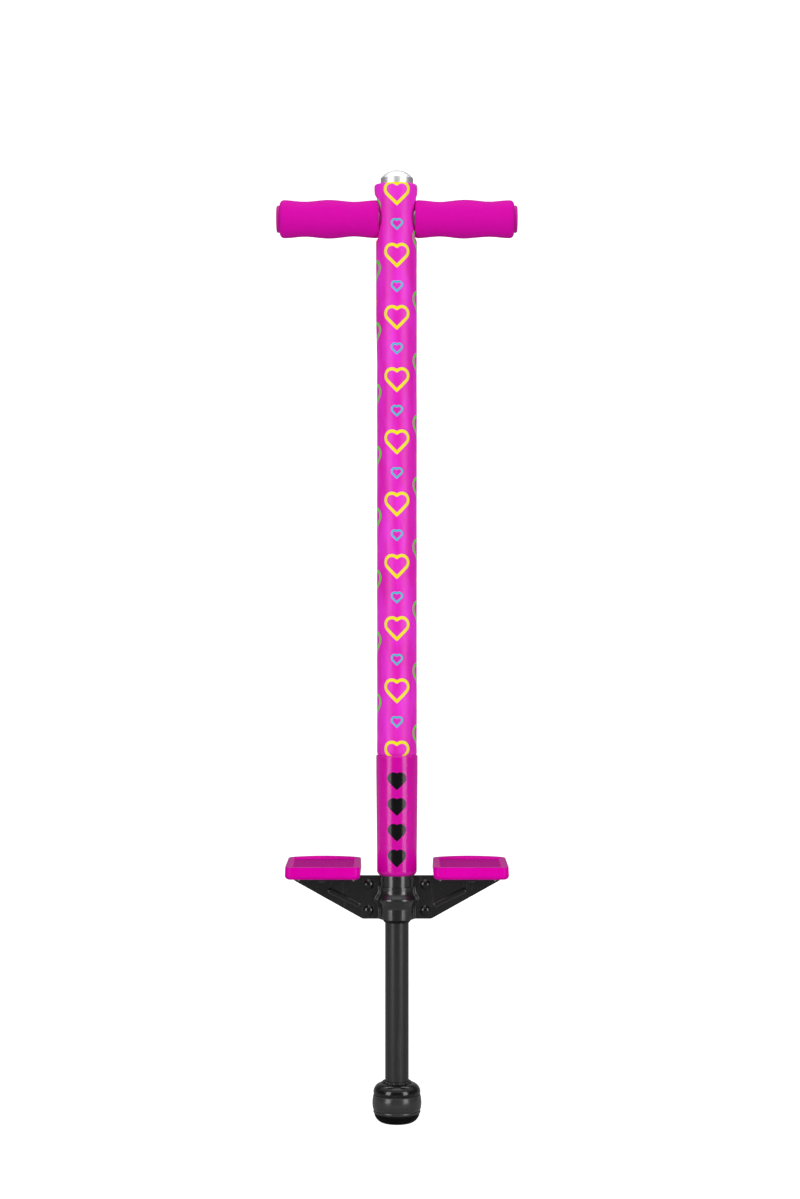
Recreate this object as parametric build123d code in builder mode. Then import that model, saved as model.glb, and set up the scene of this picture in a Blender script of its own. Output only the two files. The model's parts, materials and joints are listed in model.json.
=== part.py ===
from build123d import *
import math
import os

# Pogo stick, in millimetres. +Z is up and the origin is the centre of the rubber tip's flat underside.
# +X runs along the handlebar and the front of the stick faces -Y.

os.makedirs("parts", exist_ok=True)

# Upright
overall_height = 925.0
tube_radius = 15.9
tube_bore = 14.3
tube_bottom = 199.0
tube_top = 911.0
cap_skirt = 5.8
cap_plug_length = 14.0

# Handlebar
bar_height = 877.6
bar_radius = 11.1
bar_bore = 9.6
bar_half_length = 113.6
grip_inner_end = 19.8
grip_outer_end = 113.7
grip_cap_radius = 13.2
grip_cap_end = 117.0
bar_weld_thickness = 1.9
bar_weld_reach = 17.3

# Foam sleeve and lower guard
foam_bore = 16.2
foam_radius = 19.35
foam_top = 910.6
guard_bottom = 240.6
guard_top = 357.0
guard_bore = 15.95
guard_mouth_radius = 18.6
guard_mouth_depth = 6.0
guard_low_radius = 19.4
guard_high_radius = 20.2
label_bottom = 246.0
label_top = 345.5
label_width = 29.0

# Bracket and foot pads
bracket_top = 240.0
bracket_bottom = 198.0
plate_thickness = 2.0
plate_seam = 0.1
wing_corner = 33.4
wing_tip = 100.0
wing_tip_low = 235.2
channel_top = 229.5
channel_radius = 17.4
bulge_radius = 20.8
bulge_height = 217.0
bulge_half_height = 9.0
bend_radius = 1.2
flange_inner = 38.0
flange_outer = 98.0
flange_reach = 32.0
rivet_places = ((27.5, 231.2), (27.5, 206.0))
rivet_head_radius = 5.0
rivet_head_height = 2.2
rib_middle = (51.2, 218.2)
rib_length = 36.0
rib_width = 6.0
rib_height = 2.2
rib_slope = 26.0
pad_inner = 34.8
pad_outer = 107.6
pad_depth = 84.0
pad_front_top = 252.0
pad_back_top = 254.8
pad_back_fall = 6.2
pad_draft = 3.0
tread_height = 251.0
tread_rise = 0.024
pad_rim = 5.0
pad_screw_spacing = 40.0
pad_middle = (pad_inner + pad_outer) / 2

# Bush, shaft and spring
bush_nose = 194.5
bush_top = 250.0
bush_screw_height = 217.0
shaft_radius = 11.5
shaft_bore = 9.9
shaft_bottom = 26.0
shaft_top = 320.0
running_gap = 0.05
bumper_top = 258.0
collar_height = 10.0
collar_radius = 13.9
seat_radius = 13.9
seat_thickness = 6.0
seat_pilot_radius = 9.1
seat_pilot_length = 14.0
wire_radius = 2.0
spring_radius = 11.5
spring_bottom = shaft_top + 0.1 + seat_thickness
spring_top = 640.0
spring_active_turns = 28
spring_closed_turns = 2
upper_seat_thickness = 8.0
stop_pin_radius = 4.0

# Foot
tip_radius = 22.0
tip_flat_radius = 11.5
band_bottom = 9.7
band_top = 27.6
band_bore = 20.0
cup_spigot_radius = 14.0
cup_spigot_bottom = 10.0
cup_top = 38.9


def save(piece, name):
    """Names a finished piece and writes it out."""
    piece.part.label = name
    export_step(piece.part, f"parts/{name}.step")


def turned(*corners):
    """A piece turned about the upright axis, from (radius, height) corners."""
    with BuildPart() as piece:
        with BuildSketch(Plane.XZ):
            with BuildLine():
                Polyline(*corners, close=True)
            make_face()
        revolve(axis=Axis.Z)
    return piece


def cross_hole(radius, height, reach):
    """Drills the open part block along X, through both sides of the upright axis."""
    with BuildSketch(Plane.YZ.offset(-reach)) as hole:
        with Locations((0, height)):
            Circle(radius)
    extrude(hole.sketch, amount=2 * reach, mode=Mode.SUBTRACT)


# Upright tube, with holes for the handlebar, the spring's stop pin and the bush screws
with BuildPart() as outer_tube:
    with BuildSketch(Plane.XY.offset(tube_bottom)):
        Circle(tube_radius)
        Circle(tube_bore, mode=Mode.SUBTRACT)
    extrude(amount=tube_top - tube_bottom)
    stop_pin_height = spring_top + upper_seat_thickness + stop_pin_radius
    cross_hole(bar_radius + running_gap, bar_height, tube_radius + 1)
    cross_hole(stop_pin_radius + running_gap, stop_pin_height, tube_radius + 1)
    cross_hole(2.0 + running_gap, bush_screw_height, tube_radius + 1)
save(outer_tube, "outer_tube")

# Domed cap, pushed into the top of the tube
with BuildPart() as top_cap:
    with BuildSketch(Plane.XZ):
        with BuildLine():
            dome_edge = tube_top + cap_skirt
            Line((0, tube_top - cap_plug_length), (tube_bore - running_gap, tube_top - cap_plug_length))
            Line((tube_bore - running_gap, tube_top - cap_plug_length), (tube_bore - running_gap, tube_top))
            Line((tube_bore - running_gap, tube_top), (tube_radius, tube_top))
            Line((tube_radius, tube_top), (tube_radius, dome_edge))
            TangentArc((0, overall_height), (tube_radius, dome_edge), tangent=(1, 0))
            Line((0, overall_height), (0, tube_top - cap_plug_length))
        make_face()
    revolve(axis=Axis.Z)
save(top_cap, "top_cap")

# Handlebar, one tube right through the upright
with BuildPart() as handlebar:
    with BuildSketch(Plane.YZ.offset(-bar_half_length)):
        with Locations((0, bar_height)):
            Circle(bar_radius)
            Circle(bar_bore, mode=Mode.SUBTRACT)
    extrude(amount=2 * bar_half_length)
save(handlebar, "handlebar")

# Weld collars where the handlebar enters the upright, one on each side
bar_axis = Axis((0, 0, bar_height), (1, 0, 0))
with BuildPart() as handlebar_weld:
    with BuildSketch(Plane.YZ.offset(-bar_weld_reach)):
        with Locations((0, bar_height)):
            Circle(bar_radius + bar_weld_thickness)
            Circle(bar_radius, mode=Mode.SUBTRACT)
    extrude(amount=2 * bar_weld_reach)
    with BuildSketch(Plane.XY.offset(bar_height - 2 * bar_radius)):
        Circle(bar_weld_reach)
    extrude(amount=4 * bar_radius, mode=Mode.INTERSECT)
    with BuildSketch(Plane.XY.offset(bar_height - 2 * bar_radius)):
        Circle(tube_radius)
    extrude(amount=4 * bar_radius, mode=Mode.SUBTRACT)
save(handlebar_weld, "handlebar_weld")


def grip(side):
    """A foam grip with two finger swells, clear of the bar by the foam's own slack."""
    inner_radius = bar_radius + 0.3
    swells = ((42.0, 16.9), (65.5, 18.7), (90.5, 17.0), (109.5, 18.3))
    with BuildPart() as piece:
        with BuildSketch(Plane.XZ):
            with BuildLine():
                low = bar_height + inner_radius
                start = (side * (grip_inner_end + 2.0), bar_height + 18.2)
                waves = [(side * x, bar_height + radius) for x, radius in swells]
                Line((side * grip_inner_end, low), (side * grip_inner_end, bar_height + 16.2))
                ThreePointArc(
                    (side * grip_inner_end, bar_height + 16.2),
                    (side * (grip_inner_end + 0.6), bar_height + 17.6),
                    start,
                )
                Spline(start, *waves, tangents=((side, 0), (side, 0)))
                ThreePointArc(
                    waves[-1],
                    (side * (grip_outer_end - 1.2), bar_height + 17.1),
                    (side * grip_outer_end, bar_height + 14.2),
                )
                Line((side * grip_outer_end, bar_height + 14.2), (side * grip_outer_end, low))
                Line((side * grip_outer_end, low), (side * grip_inner_end, low))
            make_face()
        revolve(axis=bar_axis)
    return piece


def grip_cap(side):
    """A plug with a round-edged disc, pressed into the end of the handlebar."""
    with BuildPart() as piece:
        with BuildSketch(Plane.YZ.offset(side * (grip_outer_end + 0.3))):
            with Locations((0, bar_height)):
                Circle(grip_cap_radius)
        extrude(amount=side * (grip_cap_end - grip_outer_end - 0.3))
        fillet(piece.faces().sort_by(Axis.X)[-1 if side > 0 else 0].edges(), 1.8)
        with BuildSketch(Plane.YZ.offset(side * (grip_outer_end + 0.3))):
            with Locations((0, bar_height)):
                Circle(bar_bore - running_gap)
                Circle(bar_bore - 2.0, mode=Mode.SUBTRACT)
        extrude(amount=-side * 16.0)
    return piece


for side_name, side in (("left", -1), ("right", 1)):
    save(grip(side), f"{side_name}_grip")
    save(grip_cap(side), f"{side_name}_grip_cap")

# Foam sleeve, tucked into the guard's mouth below and flared at its rolled top rim
with BuildPart() as foam_sleeve:
    tuck_radius = guard_mouth_radius - 0.35
    tuck_bottom = guard_top - guard_mouth_depth + 0.4
    with BuildSketch(Plane.XZ):
        with BuildLine():
            Polyline(
                (foam_bore, foam_top - 1.6),
                (foam_bore, tuck_bottom),
                (tuck_radius, tuck_bottom),
                (tuck_radius, guard_top + 0.3),
                (foam_radius, guard_top + 1.4),
                (foam_radius, 892.0),
            )
            Spline((foam_radius, 892.0), (foam_radius + 0.75, 905.0), tangents=((0, 1), (0, 1)))
            ThreePointArc((foam_radius + 0.75, 905.0), (foam_radius - 0.4, 909.3), (17.6, foam_top))
            Line((17.6, foam_top), (foam_bore, foam_top - 1.6))
        make_face()
    revolve(axis=Axis.Z)
    cross_hole(bar_radius + bar_weld_thickness + 0.3, bar_height, foam_radius + 2)
save(foam_sleeve, "foam_sleeve")

# Lower guard, a moulded boot round the foot of the upright
with BuildPart() as lower_guard:
    with BuildSketch(Plane.XZ):
        with BuildLine():
            mouth_floor = guard_top - guard_mouth_depth
            Polyline(
                (guard_low_radius, guard_bottom + 4.8),
                (guard_low_radius, 262.0),
                (guard_high_radius, 340.0),
                (guard_high_radius, guard_top - 0.8),
                (guard_high_radius - 0.6, guard_top),
                (guard_mouth_radius + 0.2, guard_top),
                (guard_mouth_radius, guard_top - 0.4),
                (guard_mouth_radius, mouth_floor),
                (guard_bore, mouth_floor),
                (guard_bore, guard_bottom),
                (guard_low_radius - 2.4, guard_bottom),
            )
            ThreePointArc(
                (guard_low_radius - 2.4, guard_bottom),
                (guard_low_radius - 0.6, guard_bottom + 1.9),
                (guard_low_radius, guard_bottom + 4.8),
            )
        make_face()
    revolve(axis=Axis.Z)
save(lower_guard, "lower_guard")

# Label on the front of the guard, a thin wrap with round ends
with BuildPart() as guard_label:
    with BuildSketch(Plane.XZ):
        with BuildLine():
            Polyline(
                (guard_low_radius + 0.02, label_bottom - 0.5),
                (guard_low_radius + 0.02, 262.0),
                (guard_high_radius + 0.02, 340.0),
                (guard_high_radius + 0.02, label_top + 1),
                (guard_high_radius + 0.3, label_top + 1),
                (guard_high_radius + 0.3, 340.0),
                (guard_low_radius + 0.3, 262.0),
                (guard_low_radius + 0.3, label_bottom - 0.5),
                close=True,
            )
        make_face()
    revolve(axis=Axis.Z)
    with BuildSketch(Plane.XZ):
        with Locations((0, (label_bottom + label_top) / 2)):
            SlotOverall(label_top - label_bottom, label_width, rotation=90)
    extrude(amount=2 * guard_high_radius, mode=Mode.INTERSECT)
save(guard_label, "guard_label")


def channel_profile(radius, swell, low, high):
    """The outline of a round channel about the upright axis, swelling smoothly at the bush screws."""
    swell_bottom = (radius, bulge_height - bulge_half_height)
    swell_top = (radius, bulge_height + bulge_half_height)
    Polyline(swell_top, (radius, high), (0, high), (0, low), (radius, low), swell_bottom)
    Spline(swell_bottom, (swell, bulge_height), swell_top, tangents=((0, 1), (0, 1), (0, 1)))


def bracket_half():
    """The front half of the bracket: two wings, a channel round the tube and a flange for each pad."""
    face = plate_thickness + plate_seam / 2
    with BuildPart() as half:
        with BuildSketch(Plane.XZ):
            with BuildLine():
                Polyline(
                    (-wing_corner, bracket_bottom),
                    (wing_corner, bracket_bottom),
                    (wing_tip, wing_tip_low),
                    (wing_tip, bracket_top),
                    (-wing_tip, bracket_top),
                    (-wing_tip, wing_tip_low),
                    close=True,
                )
            make_face()
            fillet(vertices().group_by(Axis.Y)[0], 5.0)
            fillet(vertices().filter_by(lambda v: abs(v.X) > wing_tip - 1 and v.Y < bracket_top - 1), 2.0)
        extrude(amount=face)
        with BuildSketch(Plane.XZ):
            with BuildLine():
                channel_profile(channel_radius, bulge_radius, bracket_bottom, channel_top)
            make_face()
        revolve(axis=Axis.Z)
        bends = half.edges().filter_by(
            lambda e: abs(e.center().Y + face) < 0.01
            and channel_radius - 1 < abs(e.center().X) < bulge_radius + 1
            and bracket_bottom + 1 < e.center().Z < channel_top - 1
        )
        fillet(bends, bend_radius)
        for wing in (-1, 1):
            with BuildSketch(Plane.XY.offset(bracket_top - plate_thickness)):
                with Locations((wing * (flange_inner + flange_outer) / 2, -flange_reach / 2)):
                    Rectangle(flange_outer - flange_inner, flange_reach)
                fillet(vertices().group_by(Axis.Y)[0], 6.0)
            extrude(amount=plate_thickness)
        inner_bends = half.edges().filter_by(Axis.X).filter_by(
            lambda e: abs(e.center().Y + face) < 0.01 and abs(e.center().Z - bracket_top + plate_thickness) < 0.01
        )
        fillet(inner_bends, 1.5)
        for wing in (-1, 1):
            with BuildSketch(Plane.XZ.offset(face - 0.05)):
                with Locations((wing * rib_middle[0], rib_middle[1])):
                    SlotOverall(rib_length, rib_width, rotation=wing * rib_slope)
            extrude(amount=rib_height)
            rib_top = half.faces().filter_by(Axis.Y).filter_by(
                lambda f: -6.0 < f.center().Y < -face - 1.0 and f.center().X * wing > 0
            )
            fillet(rib_top.sort_by(Axis.Y)[0].edges(), rib_height - 0.3)
        with BuildSketch(Plane.XZ):
            with BuildLine():
                channel_profile(guard_bore, bulge_radius - plate_thickness, bracket_bottom - 1, bracket_top + 1)
            make_face()
        revolve(axis=Axis.Z, mode=Mode.SUBTRACT)
        opening = half.edges().filter_by(Axis.Z).filter_by(
            lambda e: abs(e.center().Y + face) < 0.01 and abs(e.center().X) < channel_radius and e.center().Z > channel_top
        )
        fillet(opening, 0.9)
        with BuildSketch(Plane.XZ.offset(-5)):
            for wing in (-1, 1):
                with Locations(*[(wing * x, z) for x, z in rivet_places]):
                    Circle(2.55)
        extrude(amount=30, mode=Mode.SUBTRACT)
        with BuildSketch(Plane.XY.offset(bracket_top - plate_thickness - 1)):
            for wing in (-1, 1):
                with Locations((wing * pad_middle, -pad_screw_spacing / 2)):
                    Circle(2.2)
        extrude(amount=plate_thickness + 2, mode=Mode.SUBTRACT)
        split(bisect_by=Plane.XZ.offset(plate_seam / 2), keep=Keep.TOP)
    return half


front_bracket = bracket_half()
save(front_bracket, "front_bracket")
with BuildPart() as rear_bracket:
    add(front_bracket.part.mirror(Plane.XZ))
save(rear_bracket, "rear_bracket")

# Rivets through both plates, domed on both faces
with BuildPart() as rivet:
    head_seat = plate_thickness + plate_seam / 2
    head_top = head_seat + rivet_head_height
    with BuildSketch(Plane.XZ):
        with BuildLine():
            Line((0, -head_top), (0, head_top))
            TangentArc((0, head_top), (rivet_head_radius, head_seat), tangent=(1, 0))
            Polyline((rivet_head_radius, head_seat), (2.5, head_seat), (2.5, -head_seat), (rivet_head_radius, -head_seat))
            TangentArc((0, -head_top), (rivet_head_radius, -head_seat), tangent=(1, 0))
        make_face()
    revolve(axis=Axis.Z)
with BuildPart() as bracket_rivets:
    with Locations(*[Location((wing * x, 0, z), (90, 0, 0)) for wing in (-1, 1) for x, z in rivet_places]):
        add(rivet.part)
save(bracket_rivets, "bracket_rivets")


def foot_pad(side):
    """A moulded pad with drafted sides, rising to an arched back, with a sunk tread and two screw bores below."""
    middle = side * pad_middle
    length = pad_outer - pad_inner
    left, right = middle - length, middle + length
    past_edge = pad_depth / 2 + 2
    with BuildPart() as pad:
        with BuildSketch(Plane.XY.offset(bracket_top)):
            with Locations((middle, 0)):
                RectangleRounded(length, pad_depth, 7.0)
        extrude(amount=pad_back_top - bracket_top + 1, taper=pad_draft)
        with BuildSketch(Plane.XZ.offset(past_edge)):
            with BuildLine():
                Polyline(
                    (left, pad_front_top), (left, bracket_top), (right, bracket_top), (right, pad_front_top), close=True
                )
            make_face()
        with BuildSketch(Plane.XZ.offset(-past_edge)):
            with BuildLine():
                back_corner = pad_back_top - pad_back_fall
                Polyline((left, back_corner), (left, bracket_top), (right, bracket_top), (right, back_corner))
                ThreePointArc((right, back_corner), (middle, pad_back_top), (left, back_corner))
            make_face()
        loft(mode=Mode.INTERSECT)
        fillet(pad.faces().sort_by(Axis.Z)[0].edges(), 4.0)
        tread = Plane(origin=(middle, 0, tread_height), x_dir=(1, 0, 0), z_dir=(0, -tread_rise, 1))
        with BuildSketch(tread):
            RectangleRounded(length - 2 * pad_rim - 5, pad_depth - 2 * pad_rim - 3, 5.0)
        extrude(amount=6, taper=-45, mode=Mode.SUBTRACT)
        with BuildSketch(Plane.XY.offset(bracket_top)):
            with Locations((middle, -pad_screw_spacing / 2), (middle, pad_screw_spacing / 2)):
                Circle(2.05)
        extrude(amount=7.5, mode=Mode.SUBTRACT)
    return pad


for side_name, side in (("left", -1), ("right", 1)):
    save(foot_pad(side), f"{side_name}_pedal")

# Screws up through the flanges into the pads
with BuildPart() as pedal_screws:
    screw_places = [(side * pad_middle, y) for side in (-1, 1) for y in (-pad_screw_spacing / 2, pad_screw_spacing / 2)]
    with BuildSketch(Plane.XY.offset(bracket_top - plate_thickness)):
        with Locations(*screw_places):
            Circle(2.0)
    extrude(amount=plate_thickness + 7.0)
    with BuildSketch(Plane.XY.offset(bracket_top - plate_thickness)):
        with Locations(*screw_places):
            Circle(4.2)
    extrude(amount=-2.4)
    fillet(pedal_screws.faces().group_by(Axis.Z)[0].edges(), 1.6)
    with BuildSketch(Plane.XY.offset(bracket_top - plate_thickness - 2.4)):
        with Locations(*screw_places):
            RegularPolygon(1.7, 6)
    extrude(amount=1.5, mode=Mode.SUBTRACT)
save(pedal_screws, "pedal_screws")

# Guide bush in the foot of the upright, with a tapered nose
with BuildPart() as guide_bush:
    with BuildSketch(Plane.XZ):
        with BuildLine():
            Polyline(
                (shaft_radius + running_gap, bush_nose),
                (shaft_radius + 0.6, bush_nose),
                (tube_radius - 1.0, bracket_bottom),
                (tube_radius, tube_bottom),
                (tube_bore - running_gap, tube_bottom),
                (tube_bore - running_gap, bush_top),
                (shaft_radius + running_gap, bush_top),
                close=True,
            )
        make_face()
    revolve(axis=Axis.Z)
    for side in (-1, 1):
        with BuildSketch(Plane.YZ.offset(side * 12.3)):
            with Locations((0, bush_screw_height)):
                Circle(2.0 + running_gap)
        extrude(amount=side * 3, mode=Mode.SUBTRACT)
save(guide_bush, "guide_bush")

# Screws that hold the bush, their low heads inside the bracket's bulge
with BuildPart() as bush_screws:
    for side in (-1, 1):
        with BuildSketch(Plane.YZ.offset(side * 12.4)):
            with Locations((0, bush_screw_height)):
                Circle(2.0)
        extrude(amount=side * 4.0)
        with BuildSketch(Plane.YZ.offset(side * (tube_radius + 0.05))):
            with Locations((0, bush_screw_height)):
                Circle(2.7)
        extrude(amount=side * 1.1)
save(bush_screws, "bush_screws")

# Rubber ring that the collar comes back to rest on
save(
    turned(
        (shaft_radius + 0.4, bush_top),
        (13.8, bush_top),
        (13.8, bumper_top - 1.2),
        (13.0, bumper_top),
        (shaft_radius + 0.4, bumper_top),
    ),
    "rebound_bumper",
)

# Sliding shaft, a tube cross-drilled for the collar's pin
collar_bottom = bumper_top + running_gap
pin_height = collar_bottom + collar_height / 2
with BuildPart() as shaft:
    with BuildSketch(Plane.XY.offset(shaft_bottom)):
        Circle(shaft_radius)
        Circle(shaft_bore, mode=Mode.SUBTRACT)
    extrude(amount=shaft_top - shaft_bottom)
    cross_hole(2.05, pin_height, shaft_radius + 1)
save(shaft, "shaft")

# Stop collar and the roll pin through it
with BuildPart() as stop_collar:
    with BuildSketch(Plane.XY.offset(collar_bottom)):
        Circle(collar_radius)
        Circle(shaft_radius + 0.02, mode=Mode.SUBTRACT)
    extrude(amount=collar_height)
    chamfer(stop_collar.edges().filter_by(GeomType.CIRCLE).sort_by(SortBy.RADIUS)[-2:], 0.8)
    cross_hole(2.05, pin_height, collar_radius + 1)
save(stop_collar, "stop_collar")

with BuildPart() as collar_pin:
    with BuildSketch(Plane.YZ.offset(-collar_radius + 0.4)):
        with Locations((0, pin_height)):
            Circle(2.0)
            Circle(1.2, mode=Mode.SUBTRACT)
            with Locations((0, 1.6)):
                Rectangle(0.6, 1.6, mode=Mode.SUBTRACT)
    extrude(amount=2 * (collar_radius - 0.4))
save(collar_pin, "collar_pin")

# Lower spring seat: a plug in the shaft's top that lets the shaft turn under the spring
seat_bottom = shaft_top + 0.1
save(
    turned(
        (0, shaft_top - 16.0),
        (shaft_bore - 0.1, shaft_top - 16.0),
        (shaft_bore - 0.1, seat_bottom),
        (seat_radius, seat_bottom),
        (seat_radius, spring_bottom),
        (seat_pilot_radius, spring_bottom),
        (seat_pilot_radius, spring_bottom + seat_pilot_length - 2.0),
        (seat_pilot_radius - 2.0, spring_bottom + seat_pilot_length),
        (0, spring_bottom + seat_pilot_length),
    ),
    "lower_spring_seat",
)

# Main spring, closed and ground flat at both ends
with BuildPart() as main_spring:
    turn_count = spring_active_turns + 2 * spring_closed_turns
    closed_pitch = 2 * wire_radius + 0.15
    closed_height = spring_closed_turns * closed_pitch
    spring_length = spring_top - spring_bottom
    path_length = spring_length - wire_radius
    points_per_turn = 12
    heights = [0.0]
    for step in range(turn_count * points_per_turn):
        turn = (step + 0.5) / points_per_turn
        from_end = min(turn, turn_count - turn)
        opening = min(max((from_end - spring_closed_turns + 0.5), 0.0), 1.0)
        heights.append(heights[-1] + opening * opening * (3 - 2 * opening))
    open_share = (path_length - closed_pitch * turn_count) / heights[-1]
    path_points = []
    for step, opened in enumerate(heights):
        angle = 2 * math.pi * step / points_per_turn
        rise = spring_bottom + wire_radius / 2 + closed_pitch * step / points_per_turn + open_share * opened
        path_points.append((spring_radius * math.cos(angle), spring_radius * math.sin(angle), rise))
    with BuildLine() as coil:
        Spline(*path_points)
    with BuildSketch(Plane(origin=coil.line @ 0, z_dir=coil.line % 0)):
        Circle(wire_radius)
    sweep(path=coil.line, is_frenet=True)
    with BuildSketch(Plane.XY.offset(spring_bottom)):
        Circle(tube_bore)
    extrude(amount=spring_length, mode=Mode.INTERSECT)
save(main_spring, "main_spring")

# Upper spring seat and the pin across the tube that it bears on
save(
    turned(
        (0, spring_top - seat_pilot_length),
        (seat_pilot_radius - 2.0, spring_top - seat_pilot_length),
        (seat_pilot_radius, spring_top - seat_pilot_length + 2.0),
        (seat_pilot_radius, spring_top),
        (seat_radius, spring_top),
        (seat_radius, spring_top + upper_seat_thickness),
        (0, spring_top + upper_seat_thickness),
    ),
    "upper_spring_seat",
)

with BuildPart() as stop_pin:
    with BuildSketch(Plane.YZ.offset(-tube_radius + 0.4)):
        with Locations((0, stop_pin_height)):
            Circle(stop_pin_radius)
    extrude(amount=2 * tube_radius - 0.8)
    chamfer(stop_pin.edges().filter_by(GeomType.CIRCLE), 0.6)
save(stop_pin, "stop_pin")

# Foot: a domed cup on the shaft, a band round the rubber and the rubber tip itself
with BuildPart() as foot_cup:
    with BuildSketch(Plane.XZ):
        with BuildLine():
            Polyline(
                (14.8, cup_top),
                (shaft_radius + 0.02, cup_top),
                (shaft_radius + 0.02, shaft_bottom),
                (0, shaft_bottom),
                (0, cup_spigot_bottom),
                (cup_spigot_radius - 1.5, cup_spigot_bottom),
                (cup_spigot_radius, cup_spigot_bottom + 1.5),
                (cup_spigot_radius, band_top + 0.3),
                (22.4, band_top + 0.3),
                (22.9, band_top + 1.4),
            )
            ThreePointArc((22.9, band_top + 1.4), (21.6, 34.5), (17.2, cup_top - 0.7))
            Line((17.2, cup_top - 0.7), (14.8, cup_top))
        make_face()
    revolve(axis=Axis.Z)
save(foot_cup, "foot_cup")

with BuildPart() as shaft_weld:
    with BuildSketch(Plane.XZ):
        with BuildLine():
            weld_top = cup_top + 2.1
            Line((shaft_radius + 0.02, cup_top), (14.6, cup_top))
            ThreePointArc((14.6, cup_top), (13.7, cup_top + 1.4), (shaft_radius + 0.02, weld_top))
            Line((shaft_radius + 0.02, weld_top), (shaft_radius + 0.02, cup_top))
        make_face()
    revolve(axis=Axis.Z)
save(shaft_weld, "shaft_weld")

# The band has a rounded top edge, a full waist and a rolled lip at the bottom
with BuildPart() as tip_band:
    with BuildSketch(Plane.XZ):
        with BuildLine():
            Polyline((22.6, band_bottom), (band_bore, band_bottom), (band_bore, band_top), (22.0, band_top))
            ThreePointArc((22.0, band_top), (22.8, band_top - 0.3), (23.1, band_top - 1.2))
            ThreePointArc((23.1, band_top - 1.2), (23.9, 18.6), (23.4, 14.2))
            Line((23.4, 14.2), (22.5, 12.6))
            ThreePointArc((22.5, 12.6), (23.0, 11.1), (22.6, band_bottom))
        make_face()
    revolve(axis=Axis.Z)
save(tip_band, "tip_band")

with BuildPart() as rubber_tip:
    with BuildSketch(Plane.XZ):
        with BuildLine():
            Line((0, 0), (tip_flat_radius, 0))
            TangentArc((tip_flat_radius, 0), (tip_radius, 8.2), tangent=(1, 0))
            Polyline(
                (tip_radius, 8.2),
                (tip_radius, band_bottom),
                (band_bore - running_gap, band_bottom),
                (band_bore - running_gap, band_top),
                (cup_spigot_radius + running_gap, band_top),
                (cup_spigot_radius + running_gap, cup_spigot_bottom - 0.1),
                (0, cup_spigot_bottom - 0.1),
                (0, 0),
            )
        make_face()
    revolve(axis=Axis.Z)
save(rubber_tip, "rubber_tip")
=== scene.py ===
import json
import math

import bmesh
import bpy
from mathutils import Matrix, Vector, noise


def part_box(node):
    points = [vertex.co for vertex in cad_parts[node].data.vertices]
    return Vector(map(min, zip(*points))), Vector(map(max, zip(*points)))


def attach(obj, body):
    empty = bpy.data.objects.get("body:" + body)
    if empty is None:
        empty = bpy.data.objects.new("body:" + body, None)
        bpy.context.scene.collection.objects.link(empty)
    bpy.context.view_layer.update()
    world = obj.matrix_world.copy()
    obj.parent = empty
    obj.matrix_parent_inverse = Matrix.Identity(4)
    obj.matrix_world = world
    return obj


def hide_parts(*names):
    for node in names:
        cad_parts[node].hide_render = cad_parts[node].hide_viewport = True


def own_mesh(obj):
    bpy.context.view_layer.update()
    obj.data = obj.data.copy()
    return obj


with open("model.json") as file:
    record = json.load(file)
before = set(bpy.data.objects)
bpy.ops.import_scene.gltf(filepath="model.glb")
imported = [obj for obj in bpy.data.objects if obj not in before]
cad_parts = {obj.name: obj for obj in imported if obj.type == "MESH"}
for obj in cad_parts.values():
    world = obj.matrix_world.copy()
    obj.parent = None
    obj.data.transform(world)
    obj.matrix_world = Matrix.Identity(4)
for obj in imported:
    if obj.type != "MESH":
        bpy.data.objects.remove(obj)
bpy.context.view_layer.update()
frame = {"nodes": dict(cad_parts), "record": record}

MM = 0.001
scene = bpy.context.scene
nodes = frame["nodes"]


def size_in_mm(node):
    """A CAD node's lowest and highest corners, in millimetres."""
    low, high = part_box(node)
    return [c / MM for c in low], [c / MM for c in high]


# ---------------------------------------------------------------- materials


def linear(red, green, blue):
    """An 8-bit display colour as the renderer's linear colour."""
    channels = [c / 255 for c in (red, green, blue)]
    return (*[c / 12.92 if c <= 0.04045 else ((c + 0.055) / 1.055) ** 2.4 for c in channels], 1.0)


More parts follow.
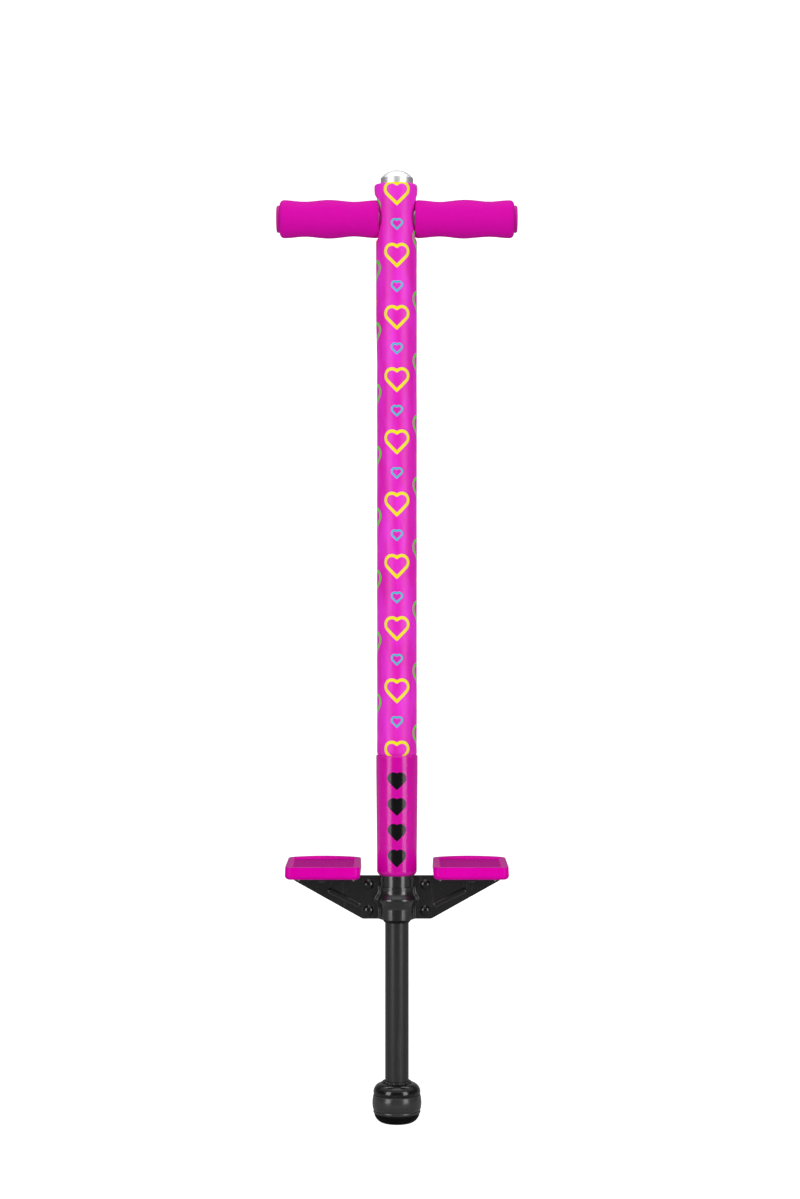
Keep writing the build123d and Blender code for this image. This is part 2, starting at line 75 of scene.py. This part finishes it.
class Graph:
    """Builds a shader or group tree a node at a time."""

    def __init__(self, tree):
        self.tree = tree

    def node(self, kind, *inputs, **settings):
        made = self.tree.nodes.new("ShaderNode" + kind)
        for key, value in settings.items():
            setattr(made, key, value)
        for socket, value in zip(made.inputs, inputs):
            self.feed(socket, value)
        return made

    def feed(self, socket, value):
        if isinstance(value, bpy.types.NodeSocket):
            self.tree.links.new(value, socket)
        elif value is not None:
            socket.default_value = value

    def math(self, operation, *inputs):
        return self.node("Math", *inputs, operation=operation).outputs[0]

    def join(self, x, y, z=0.0):
        return self.node("CombineXYZ", x, y, z).outputs[0]

    def distance(self, point, other):
        return self.node("VectorMath", point, other, operation="DISTANCE").outputs["Value"]

    def blend(self, factor, first, second):
        made = self.node("Mix", data_type="RGBA")
        self.feed(made.inputs["Factor"], factor)
        self.feed(made.inputs[6], first)
        self.feed(made.inputs[7], second)
        return made.outputs[2]

    def choose(self, factor, first, second):
        made = self.node("Mix", data_type="FLOAT")
        self.feed(made.inputs[0], factor)
        self.feed(made.inputs[2], first)
        self.feed(made.inputs[3], second)
        return made.outputs[0]

    def between(self, value, low, high, start=0.0, end=1.0):
        made = self.node("MapRange", value, low, high, start, end, interpolation_type="SMOOTHSTEP")
        return made.outputs[0]

    def noise(self, vector, scale, detail=2.0, rough=0.5):
        made = self.node("TexNoise", vector)
        made.inputs["Scale"].default_value = scale
        made.inputs["Detail"].default_value = detail
        made.inputs["Roughness"].default_value = rough
        return made.outputs["Fac"]

    def bump(self, height, strength, distance, under=None):
        made = self.node("Bump")
        made.inputs["Strength"].default_value = strength
        made.inputs["Distance"].default_value = distance
        self.feed(made.inputs["Height"], height)
        if under is not None:
            self.feed(made.inputs["Normal"], under)
        return made.outputs["Normal"]


class Surface(Graph):
    """A material with a Principled shader, its object coordinates in metres ready to use."""

    def __init__(self, name, **constants):
        self.material = bpy.data.materials.new(name)
        self.material.use_nodes = True
        super().__init__(self.material.node_tree)
        self.shader = self.tree.nodes["Principled BSDF"]
        for key, value in constants.items():
            self.shader.inputs[key.replace("_", " ")].default_value = value
        self.place = self.node("TexCoord").outputs["Object"]
        self.split = self.node("SeparateXYZ", self.place)

    def set(self, name, value):
        self.feed(self.shader.inputs[name], value)

    def stretched(self, x, y, z):
        return self.node("VectorMath", self.place, (x, y, z), operation="MULTIPLY").outputs[0]


def painted_steel(name, dark, light, roughness, streak, coat=0.1):
    """Satin black paint with orange peel, faint rubbing marks along the piece and dust."""
    s = Surface(name, Metallic=0.0, Specular_IOR_Level=0.5, Coat_Weight=coat, Coat_Roughness=0.1)
    mottle = s.noise(s.place, 45.0, 4.0, 0.6)
    scuffs = s.noise(s.stretched(*streak), 260.0, 3.0, 0.6)
    marks = s.between(scuffs, 0.58, 0.74)
    tone = s.blend(mottle, dark, light)
    s.set("Base Color", s.blend(s.math("MULTIPLY", marks, 0.22), tone, linear(96, 96, 98)))
    s.set("Roughness", s.math("ADD", s.math("MULTIPLY", mottle, 0.1), roughness))
    peel = s.bump(s.noise(s.place, 700.0, 2.0), 0.1, 0.0004)
    s.set("Normal", s.bump(scuffs, 0.05, 0.0002, peel))
    return s.material


def bare_metal(name, tone, roughness, grain):
    """Ground or drawn metal with fine lines along its grain."""
    s = Surface(name, Metallic=1.0)
    lines = s.noise(s.stretched(*grain), 500.0, 3.0, 0.6)
    s.set("Base Color", s.blend(lines, [c * 0.82 for c in tone[:3]] + [1.0], tone))
    s.set("Roughness", s.math("ADD", s.math("MULTIPLY", lines, 0.14), roughness))
    s.set("Normal", s.bump(lines, 0.08, 0.0001))
    return s.material


def chrome():
    """Bright plating, with the faintest waviness and a little haze."""
    s = Surface("chrome", Metallic=1.0)
    haze = s.noise(s.place, 90.0, 3.0)
    s.set("Base Color", s.blend(haze, linear(240, 241, 243), linear(250, 250, 251)))
    s.set("Roughness", s.math("ADD", s.math("MULTIPLY", haze, 0.06), 0.42))
    s.set("Normal", s.bump(s.noise(s.place, 60.0, 1.0), 0.02, 0.001))
    return s.material


def moulded_rubber(name, tone, roughness):
    """Black rubber with a fine pebbled skin and grey scuffs low down."""
    s = Surface(name, Specular_IOR_Level=0.12)
    skin = s.noise(s.place, 1300.0, 3.0, 0.6)
    patches = s.noise(s.place, 130.0, 4.0, 0.65)
    low_down = s.between(s.split.outputs["Z"], 0.0, 0.006, 1.0, 0.0)
    scuffed = s.math("MULTIPLY", s.between(patches, 0.45, 0.7), s.math("MULTIPLY", low_down, 0.2))
    s.set("Base Color", s.blend(scuffed, tone, linear(74, 72, 70)))
    s.set("Roughness", s.math("ADD", s.math("MULTIPLY", patches, 0.15), roughness))
    s.set("Normal", s.bump(skin, 0.25, 0.0002))
    return s.material


def moulded_plastic(name, tone, shade, roughness, pebble, gloss=0.25):
    """Coloured plastic with a moulded skin, slight flow marks and a soft coat."""
    s = Surface(name, Coat_Weight=gloss * 0.4, Coat_Roughness=0.1, Specular_IOR_Level=gloss)
    flow = s.noise(s.stretched(1.0, 1.0, 0.35), 34.0, 3.0, 0.55)
    s.set("Base Color", s.blend(s.between(flow, 0.3, 0.7), shade, tone))
    s.set("Roughness", s.math("ADD", s.math("MULTIPLY", flow, 0.1), roughness))
    s.set("Normal", s.bump(s.noise(s.place, 900.0, 2.0), pebble, 0.0002))
    return s


# how far the tread lies under the pad's highest point, in mm, and how much it rises from front to back
TREAD_DEPTH = 3.7
TREAD_SLOPE = 0.024


def pad_plastic():
    """The foot pads: glossy sides and rim, and a coarser tread in the sunk top, whose colour is painted
    darker as painted shade on faces turned up, most of all deep in the recess.
    """
    s = moulded_plastic("pad_plastic", linear(236, 4, 182), linear(226, 2, 172), 0.24, 0.08, 0.03)
    floor = (size_in_mm("left_pedal")[1][2] - TREAD_DEPTH) * MM
    depth = s.math("SUBTRACT", s.split.outputs["Z"], floor)
    upward = s.between(s.node("SeparateXYZ", s.node("NewGeometry").outputs["Normal"]).outputs["Z"], 0.5, 0.95)
    tipped = s.math("SUBTRACT", depth, s.math("MULTIPLY", s.split.outputs["Y"], TREAD_SLOPE))
    on_tread = s.math("MULTIPLY", upward, s.between(s.math("ABSOLUTE", tipped), 0.0003, 0.0008, 1.0, 0.0))
    # painted shade: faces turned up are darkened more the deeper they lie in the recess
    sunk_shade = s.between(tipped, -0.0005, 0.0026, 1.0, 0.75)
    worn = s.noise(s.place, 60.0, 4.0, 0.6)
    # painted shade: the tread's darker magenta stands for the shade on faces turned up, with a random
    # unevenness between two shaded tones
    tread_shade = s.blend(worn, linear(168, 0, 130), linear(186, 0, 144))
    skin = s.shader.inputs["Base Color"].links[0].from_socket
    s.set("Base Color", s.blend(s.math("MULTIPLY", upward, sunk_shade), skin, tread_shade))
    rough = s.shader.inputs["Roughness"].links[0].from_socket
    s.set("Roughness", s.choose(on_tread, rough, 0.55))
    cells = s.node("TexVoronoi", s.place)
    cells.inputs["Scale"].default_value = 520.0
    grit = s.math("MULTIPLY", on_tread, s.between(cells.outputs["Distance"], 0.0, 0.6, 1.0, 0.0))
    under = s.shader.inputs["Normal"].links[0].from_socket
    s.set("Normal", s.bump(grit, 0.5, 0.0005, under))
    return s.material


def foam_skin(s, strength):
    """Closed-cell foam: small pores over a soft, uneven skin. Returns the normal."""
    pores = s.node("TexVoronoi", s.place)
    pores.inputs["Scale"].default_value = 900.0
    pits = s.between(pores.outputs["Distance"], 0.05, 0.45)
    soft = s.noise(s.place, 160.0, 4.0, 0.6)
    return s.bump(pits, strength, 0.00035, s.bump(soft, 0.12, 0.0012))


def grip_foam():
    """Flat matte magenta foam."""
    s = Surface("grip_foam", Specular_IOR_Level=0.1, Sheen_Weight=0.06, Sheen_Roughness=0.5)
    s.shader.inputs["Sheen Tint"].default_value = linear(255, 90, 220)
    patches = s.noise(s.place, 70.0, 4.0, 0.6)
    specks = s.noise(s.place, 1500.0, 2.0, 0.6)
    tone = s.blend(patches, linear(214, 0, 168), linear(228, 2, 180))
    s.set("Base Color", s.blend(s.between(specks, 0.55, 0.75, 0.0, 0.35), tone, linear(160, 0, 120)))
    s.set("Roughness", s.math("ADD", s.math("MULTIPLY", patches, 0.12), 0.72))
    s.set("Normal", foam_skin(s, 0.35))
    return s.material


def heart_group(wrap_width, wrap_height):
    """A group that measures, in mm, how far a point on a wrapped print is outside a plain upright heart.
    Each column of hearts sits half a repeat from its neighbour."""
    # the textbook heart: a square stood on its corner, with a half circle on each upper side
    lobe_middle, lobe_radius = (0.25, 0.75, 0.0), math.sqrt(2.0) / 4.0
    notch = (0.0, 1.0, 0.0)
    full_width = 2 * (0.25 + lobe_radius)
    full_height = 0.75 + lobe_radius
    tree = bpy.data.node_groups.new("heart_distance", "ShaderNodeTree")
    sockets = ("Across", "Up", "Middle across", "Middle up", "Width")
    for name in sockets:
        tree.interface.new_socket(name, in_out="INPUT", socket_type="NodeSocketFloat")
    tree.interface.new_socket("Distance", in_out="OUTPUT", socket_type="NodeSocketFloat")
    g = Graph(tree)
    given = g.tree.nodes.new("NodeGroupInput").outputs
    across, up, middle_across, middle_up, width = [given[name] for name in sockets]
    from_middle = g.math("SUBTRACT", across, middle_across)
    column = g.math("ROUND", g.math("DIVIDE", from_middle, wrap_width))
    local_x = g.math("SUBTRACT", from_middle, g.math("MULTIPLY", column, wrap_width))
    drop = g.math("MULTIPLY", column, wrap_height / 2)
    rise = g.math("SUBTRACT", g.math("SUBTRACT", up, middle_up), drop)
    local_y = g.math("WRAP", rise, wrap_height / 2, -wrap_height / 2)
    scale = g.math("DIVIDE", full_width, width)
    reach = g.math("MULTIPLY", g.math("ABSOLUTE", local_x), scale)
    y = g.math("ADD", g.math("MULTIPLY", local_y, scale), full_height / 2)
    point = g.join(reach, y)
    total = g.math("ADD", reach, y)
    lobe = g.math("SUBTRACT", g.distance(point, lobe_middle), lobe_radius)
    foot = g.math("MULTIPLY", g.math("MAXIMUM", total, 0.0), 0.5)
    nearest = g.math("MINIMUM", g.distance(point, notch), g.distance(point, g.join(foot, foot)))
    lower = g.math("MULTIPLY", nearest, g.math("SIGN", g.math("SUBTRACT", reach, y)))
    shape = g.choose(g.math("GREATER_THAN", total, 1.0), lower, lobe)
    out = g.tree.nodes.new("NodeGroupOutput")
    g.feed(out.inputs["Distance"], g.math("DIVIDE", shape, scale))
    return tree


def around_upright(s, radius_mm):
    """Distance round the upright from its front, and height, both in mm."""
    front = s.math("MULTIPLY", s.split.outputs["Y"], -1.0)
    angle = s.math("ARCTAN2", s.split.outputs["X"], front)
    return s.math("MULTIPLY", angle, radius_mm), s.math("MULTIPLY", s.split.outputs["Z"], 1000.0)


def heart(s, group, across, up, middle, width, rounding=1.0):
    """The distance in mm outside one upright heart of a print, its point rounded off."""
    made = s.node("Group", node_tree=group)
    for socket, value in zip(made.inputs, (across, up, *middle, width - 2 * rounding)):
        s.feed(socket, value)
    return s.math("SUBTRACT", made.outputs["Distance"], rounding)


GUARD_MAGENTA = linear(226, 4, 176)
GUARD_SHADE = linear(216, 2, 168)
LABEL_BLACK = linear(14, 12, 16)
YELLOW = linear(252, 240, 4)
LIME = linear(100, 222, 50)
CYAN = linear(50, 200, 215)
ORANGE = linear(255, 132, 40)


def heart_print(s, group, across, up, column_gap, repeat, tone):
    """The sleeve's print: an even repeat of plain outlined hearts, large and small by turns."""
    # (across, up) from the front of the upright, width, thickness of the outline, colour
    hearts = (
        ((0.0, 0.0), 26.0, 3.0, YELLOW),
        ((0.0, repeat / 2), 12.0, 1.8, CYAN),
        ((column_gap, repeat / 4), 26.0, 3.0, LIME),
        ((column_gap, repeat * 3 / 4), 12.0, 1.8, ORANGE),
    )
    edge = 0.3
    colour = tone
    for middle, width, thickness, paint in hearts:
        distance = heart(s, group, across, up, middle, width)
        outer = s.between(distance, -edge, edge, 1.0, 0.0)
        inner = s.between(distance, -thickness - edge, -thickness + edge, 1.0, 0.0)
        colour = s.blend(s.math("SUBTRACT", outer, inner), colour, paint)
    return colour


def printed_foam(group, radius_mm, repeat):
    """The sleeve: printed closed-cell foam with a smooth, slightly shiny skin, its ground painted with
    lighter vertical streaks as painted sheen.
    """
    s = Surface("printed_foam", Specular_IOR_Level=0.3, Coat_Weight=0.05, Coat_Roughness=0.35)
    across, up = around_upright(s, radius_mm)
    sheen_streaks = s.noise(s.stretched(1.0, 1.0, 0.25), 95.0, 4.0, 0.6)
    # painted sheen: random vertical streaks of lighter pink on the magenta ground, which also vary the
    # roughness
    tone = s.blend(s.between(sheen_streaks, 0.35, 0.7), linear(236, 24, 192), linear(248, 46, 226))
    s.set("Base Color", heart_print(s, group, across, up, math.pi * radius_mm / 2, repeat, tone))
    s.set("Roughness", s.math("ADD", s.math("MULTIPLY", sheen_streaks, 0.14), 0.34))
    s.set("Normal", foam_skin(s, 0.16))
    return s.material


def guard_label_film(group):
    """The label: a column of plain, equal hearts on the guard's own colour."""
    guard_radius, hearts_shown, heart_width = 19.9, 4, 18.0
    s = moulded_plastic("label_film", GUARD_MAGENTA, GUARD_SHADE, 0.16, 0.03)
    across, up = around_upright(s, guard_radius)
    low, high = size_in_mm("guard_label")
    pitch = (high[2] - low[2]) / hearts_shown
    nearest = 1000.0
    for i in range(hearts_shown):
        middle = (0.0, low[2] + pitch * (i + 0.5))
        nearest = s.math("MINIMUM", nearest, heart(s, group, across, up, middle, heart_width))
    ground = s.shader.inputs["Base Color"].links[0].from_socket
    s.set("Base Color", s.blend(s.between(nearest, 0.0, 0.35, 1.0, 0.0), ground, LABEL_BLACK))
    return s.material


black_paint = painted_steel("black_paint", linear(22, 21, 22), linear(31, 30, 31), 0.2, (1.0, 1.0, 0.3), 0.6)
shaft_paint = painted_steel("shaft_paint", linear(28, 27, 28), linear(38, 37, 37), 0.3, (1.0, 1.0, 0.04))
gloss_enamel = painted_steel("gloss_enamel", linear(5, 5, 6), linear(10, 10, 11), 0.1, (1.0, 1.0, 1.0))
band_metal = painted_steel("band_metal", linear(44, 44, 45), linear(54, 54, 55), 0.2, (0.1, 0.1, 1.0))
bare_steel = bare_metal("bare_steel", linear(170, 170, 172), 0.3, (0.05, 1.0, 1.0))
spring_steel = bare_metal("spring_steel", linear(112, 112, 116), 0.34, (1.0, 1.0, 1.0))
black_screw = painted_steel("black_screw", linear(30, 30, 31), linear(44, 44, 45), 0.3, (1.0, 1.0, 0.2))
black_nylon = moulded_rubber("black_nylon", linear(26, 26, 27), 0.36)
black_rubber = moulded_rubber("black_rubber", linear(6, 6, 6), 0.5)
guard_plastic = moulded_plastic("guard_plastic", GUARD_MAGENTA, GUARD_SHADE, 0.16, 0.03).material
cap_plastic = moulded_plastic("grip_plastic", linear(208, 0, 162), linear(196, 0, 150), 0.45, 0.12).material

sleeve_low, sleeve_high = size_in_mm("foam_sleeve")
sleeve_radius = 19.35
print_repeat = 60.0
hearts = heart_group(math.pi * sleeve_radius, print_repeat)
label_hearts = heart_group(math.pi * sleeve_radius * 4, 1000.0)
finishes = {
    "black_paint": black_paint,
    "shaft_paint": shaft_paint,
    "gloss_enamel": gloss_enamel,
    "band_metal": band_metal,
    "chrome": chrome(),
    "bare_steel": bare_steel,
    "spring_steel": spring_steel,
    "black_screw": black_screw,
    "grip_foam": grip_foam(),
    "grip_plastic": cap_plastic,
    "printed_foam": printed_foam(hearts, sleeve_radius, print_repeat),
    "guard_plastic": guard_plastic,
    "pedal_plastic": pad_plastic(),
    "label_film": guard_label_film(label_hearts),
    "black_nylon": black_nylon,
    "black_rubber": black_rubber,
}
slot_of = {part["node"]: part["material_slot"] for part in frame["record"]["subparts"]}
for name, obj in nodes.items():
    if not obj.material_slots:
        obj.data.materials.append(None)
    for material_slot in obj.material_slots:
        material_slot.material = finishes[slot_of[name]]


# ------------------------------------------------------------------- pieces


def ease(value):
    """0 to 1 with level ends."""
    value = min(max(value, 0.0), 1.0)
    return value * value * (3 - 2 * value)


def through(points, x):
    """A smooth curve through (x, y) points, level at each of them."""
    for (x0, y0), (x1, y1) in zip(points, points[1:]):
        if x <= x1:
            return y0 + (y1 - y0) * ease((x - x0) / (x1 - x0))
    return points[-1][1]


def ring_mesh(name, rings, closed):
    """A mesh from rings of points, joined one to the next, and the last to the first if closed."""
    mesh = bpy.data.meshes.new(name)
    bm = bmesh.new()
    made = [[bm.verts.new(Vector(p) * MM) for p in ring] for ring in rings]
    pairs = list(zip(made, made[1:]))
    if closed:
        pairs.append((made[-1], made[0]))
    for lower, upper in pairs:
        count = len(lower)
        for i in range(count):
            bm.faces.new((lower[i], lower[(i + 1) % count], upper[(i + 1) % count], upper[i]))
    bmesh.ops.recalc_face_normals(bm, faces=bm.faces)
    for face in bm.faces:
        face.smooth = True
    bm.to_mesh(mesh)
    bm.free()
    obj = bpy.data.objects.new(name, mesh)
    scene.collection.objects.link(obj)
    return obj


def finish_piece(obj, body, node, slot):
    """Gives a made piece its finish and its body, and hides the CAD node that it stands for."""
    obj.data.materials.clear()
    obj.data.materials.append(finishes[slot])
    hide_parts(node)
    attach(obj, body)


bar_low, bar_high = size_in_mm("handlebar")
bar_height = (bar_low[2] + bar_high[2]) / 2
guard_high = size_in_mm("lower_guard")[1]
# where the grips' inner faces flatten the sleeve, in mm from the upright's axis
GRIP_FACE = 17.45


def drill(obj, radius, height):
    """Cuts a round hole along X through a piece."""
    bm = bmesh.new()
    turn = Vector((0, 0, 1)).rotation_difference(Vector((1, 0, 0))).to_matrix().to_4x4()
    bmesh.ops.create_cone(
        bm, cap_ends=True, segments=96, radius1=radius * MM, radius2=radius * MM, depth=0.06, matrix=turn
    )
    bmesh.ops.translate(bm, verts=bm.verts, vec=(0, 0, height * MM))
    mesh = bpy.data.meshes.new("cutter")
    bm.to_mesh(mesh)
    bm.free()
    cutter = bpy.data.objects.new("cutter", mesh)
    scene.collection.objects.link(cutter)
    cut = obj.modifiers.new("hole", "BOOLEAN")
    cut.object = cutter
    cut.operation = "DIFFERENCE"
    cut.solver = "EXACT"
    bpy.context.view_layer.update()
    graph = bpy.context.evaluated_depsgraph_get()
    drilled = bpy.data.meshes.new_from_object(obj.evaluated_get(graph))
    obj.modifiers.clear()
    obj.data = drilled
    bpy.data.objects.remove(cutter)


def sleeve_outline(inner, tuck, mouth, top):
    """The sleeve's section as (radius, height), up the outside, over the rim and down the bore."""
    straight_steps = int((top - 22 - mouth) / 4.0)
    bore_steps = int((top - tuck - 14) / 24.0)
    outline = [(inner, tuck), (18.1, tuck), (18.2, mouth - 1.0), (18.5, mouth + 0.6), (19.15, mouth + 1.5)]
    outline += [(sleeve_radius, mouth + 3.0 + 4.0 * i) for i in range(straight_steps)]
    outline += [(19.45, top - 14), (19.7, top - 9), (20.0, top - 4), (20.0, top - 1.6), (19.75, top - 0.6)]
    outline += [(19.2, top - 0.05), (18.4, top), (17.2, top - 0.1), (16.6, top - 0.6), (inner, top - 1.6)]
    outline += [(inner, top - 12.0 - 24.0 * i) for i in range(bore_steps)]
    return outline


def sleeve_skin(radius, height, angle, mouth, top):
    """A point on the sleeve's outside: uneven, wavy at the guard's mouth, fuller at the upper left and
    flattened where a grip presses on it."""
    x, y = radius * math.sin(angle), -radius * math.cos(angle)
    z = height
    near_mouth = 1.0 - ease((height - mouth) / 16.0)
    ripple = 0.55 * math.sin(3 * angle + 0.9) + 0.35 * math.sin(7 * angle + 2.0)
    if height > mouth:
        z += ripple * (1.0 - ease((height - mouth - 2.0) / 8.0))
    soft = noise.noise(Vector((x * 0.09, y * 0.09, z * 0.028)))
    crease = noise.noise(Vector((angle * 3.0, z * 0.11, 4.0)))
    swell = 0.16 * soft + 0.3 * crease * near_mouth * ease((height - mouth + 0.5) / 2.0)
    fullness = ease((height - top + 180.0) / 60.0) + ease((height - top + 26.0) / 16.0)
    x, y = x * (1 + swell / radius), y * (1 + swell / radius)
    x -= fullness * max(0.0, -math.sin(angle)) ** 1.5
    off_axis = math.hypot(y, z - bar_height)
    limit = GRIP_FACE + 4.6 * ease((off_axis - 17.5) / 7.0)
    if abs(x) > limit:
        x = math.copysign(limit - 0.02, x)
    return x, y, z


def make_sleeve():
    """The foam sleeve: flared at its rolled rim, and tucked unevenly into the guard's mouth."""
    inner, around, bar_hole_radius = 16.3, 192, 11.6
    top = sleeve_high[2]
    tuck = sleeve_low[2] + 0.6
    mouth = guard_high[2]
    rings = []
    for radius, height in sleeve_outline(inner, tuck, mouth, top):
        ring = []
        for i in range(around):
            angle = 2 * math.pi * i / around
            if radius > inner + 0.05:
                ring.append(sleeve_skin(radius, height, angle, mouth, top))
            else:
                ring.append((radius * math.sin(angle), -radius * math.cos(angle), height))
        rings.append(ring)
    sleeve = ring_mesh("sleeve_foam", rings, closed=True)
    drill(sleeve, bar_hole_radius, bar_height)
    for face in sleeve.data.polygons:
        face.use_smooth = True
    finish_piece(sleeve, "frame", "foam_sleeve", "printed_foam")


def make_grip(side):
    """A foam grip: two swells for the fingers, pressed against the sleeve and rolled in at its outer end."""
    name = "left" if side < 0 else "right"
    low, high = size_in_mm(f"{name}_grip")
    outer = max(abs(low[0]), abs(high[0]))
    inner_face = 17.65
    swells = ((20.6, 18.3), (42.0, 16.85), (65.5, 18.75), (90.5, 17.0), (109.0, 18.35))
    waves_start, waves_end, steps = swells[0][0], swells[-1][0], 46
    bore = 11.25
    outline = [(inner_face, bore), (inner_face, 14.6), (inner_face + 0.05, 16.3), (inner_face + 0.6, 17.4)]
    outline += [(19.2, 18.1)]
    for i in range(steps + 1):
        along = waves_start + (waves_end - waves_start) * i / steps
        outline.append((along, through(swells, along)))
    outline += [(110.8, 18.15), (112.2, 17.45), (113.1, 16.4)]
    outline += [(outer, 14.9), (outer, 13.0), (outer - 0.1, bore)]
    around = 96
    rings = []
    for along, radius in outline:
        ring = []
        for i in range(around):
            angle = 2 * math.pi * i / around
            spot = Vector((along * 0.06 + side * 7.0, math.cos(angle) * 1.4, math.sin(angle) * 1.4))
            lump = noise.noise(spot)
            swollen = radius + (0.22 * lump if radius > bore + 3.4 else 0.0)
            ring.append((side * along, swollen * math.cos(angle), bar_height + swollen * math.sin(angle)))
        rings.append(ring)
    grip = ring_mesh(f"{name}_grip_foam", rings, closed=True)
    finish_piece(grip, "frame", f"{name}_grip", "grip_foam")


def make_weld():
    """The uneven weld bead round the foot of the shaft."""
    low, high = size_in_mm("shaft_weld")
    inside = size_in_mm("shaft")[1][0] - 0.05
    around, across = 160, 9
    rings = []
    for i in range(around):
        angle = 2 * math.pi * i / around
        ripple = 0.5 + 0.5 * math.sin(22 * angle + 1.6 * math.sin(3 * angle))
        lump = noise.noise(Vector((math.cos(angle) * 2.2, math.sin(angle) * 2.2, 1.0)))
        reach = (high[0] - inside) * (0.86 + 0.12 * ripple + 0.14 * lump)
        rise = (high[2] - low[2]) * (0.84 + 0.16 * ripple + 0.12 * lump)
        section = [(inside, low[2] - 0.05)]
        for j in range(across):
            share = math.pi / 2 * j / (across - 1)
            section.append((inside + reach * math.cos(share) ** 0.9, low[2] + rise * math.sin(share) ** 0.9))
        rings.append([(r * math.cos(angle), r * math.sin(angle), z) for r, z in section])
    weld = ring_mesh("foot_weld", rings, closed=True)
    finish_piece(weld, "shaft", "shaft_weld", "gloss_enamel")


def make_spring():
    """The main spring, a copy of its CAD mesh given its finish on the frame; the real spring shortens towards
    its fixed upper end as the shaft rises.
    """
    spring = bpy.data.objects.new("coil_spring", nodes["main_spring"].data.copy())
    scene.collection.objects.link(spring)
    finish_piece(spring, "frame", "main_spring", "spring_steel")
    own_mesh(spring)


make_sleeve()
for side in (-1, 1):
    make_grip(side)
make_weld()
make_spring()


# ---------------------------------------------------------- stage and camera


def make_backdrop():
    """A plain pale floor that curves up into a wall behind the stick."""
    bend_start, bend_radius, steps = 2.2, 1.8, 24
    profile = [(-1.2, 0.0), (bend_start, 0.0)]
    for i in range(1, steps + 1):
        angle = math.pi / 2 * i / steps
        along = bend_start + bend_radius * math.sin(angle)
        profile.append((along, bend_radius - bend_radius * math.cos(angle)))
    profile.append((4.0, 7.0))
    mesh = bpy.data.meshes.new("backdrop")
    bm = bmesh.new()
    columns = [[bm.verts.new((x, y, z)) for y, z in profile] for x in (-9.0, 9.0)]
    for i in range(len(profile) - 1):
        face = bm.faces.new((columns[0][i], columns[1][i], columns[1][i + 1], columns[0][i + 1]))
        face.smooth = True
    bm.to_mesh(mesh)
    bm.free()
    backdrop = bpy.data.objects.new("backdrop", mesh)
    scene.collection.objects.link(backdrop)
    s = Surface("backdrop_paper", Roughness=0.9, Specular_IOR_Level=0.1)
    s.shader.inputs["Emission Color"].default_value = (1.0, 1.0, 1.0, 1.0)
    s.set("Emission Strength", s.node("LightPath").outputs["Is Camera Ray"])
    fibres = s.noise(s.place, 30.0, 3.0)
    s.set("Base Color", s.blend(fibres, (0.42, 0.42, 0.42, 1.0), (0.45, 0.45, 0.45, 1.0)))
    backdrop.data.materials.append(s.material)


def softbox(name, place, target, width, height, power):
    """A soft rectangular light, aimed at a point."""
    light = bpy.data.lights.new(name, "AREA")
    light.shape = "RECTANGLE"
    light.size = width
    light.size_y = height
    light.energy = power
    obj = bpy.data.objects.new(name, light)
    scene.collection.objects.link(obj)
    obj.location = place
    obj.rotation_euler = (Vector(target) - Vector(place)).to_track_quat("-Z", "Y").to_euler()


make_backdrop()
softbox("left_softbox", (-1.9, -2.0, 0.7), (0, 0, 0.5), 1.1, 2.2, 37)
softbox("right_softbox", (1.9, -2.0, 0.7), (0, 0, 0.5), 1.1, 2.2, 37)
softbox("top_softbox", (0.0, -0.6, 2.6), (0, 0.1, 0.4), 1.6, 1.2, 6)
softbox("wall_softbox", (0.0, 1.2, 3.4), (0, 3.4, 1.0), 4.0, 1.0, 40)


def make_sky():
    """A room that is dim round the sides and bright overhead."""
    world = bpy.data.worlds.new("studio")
    scene.world = world
    world.use_nodes = True
    g = Graph(world.node_tree)
    height = g.node("SeparateXYZ", g.node("TexCoord").outputs["Generated"]).outputs["Z"]
    background = world.node_tree.nodes["Background"]
    background.inputs["Color"].default_value = (1.0, 1.0, 1.0, 1.0)
    g.feed(background.inputs["Strength"], g.between(height, 0.3, 0.9, 0.12, 0.8))


make_sky()
scene.view_settings.view_transform = "Standard"

camera_data = bpy.data.cameras.new("camera")
camera_data.sensor_fit = "VERTICAL"
camera_data.sensor_height = 36.0
camera_data.lens = 71.05
camera = bpy.data.objects.new("camera", camera_data)
scene.collection.objects.link(camera)
camera.location = (0.003, -2.3, 0.508)
camera.rotation_euler = (math.pi / 2, 0, 0)
scene.camera = camera
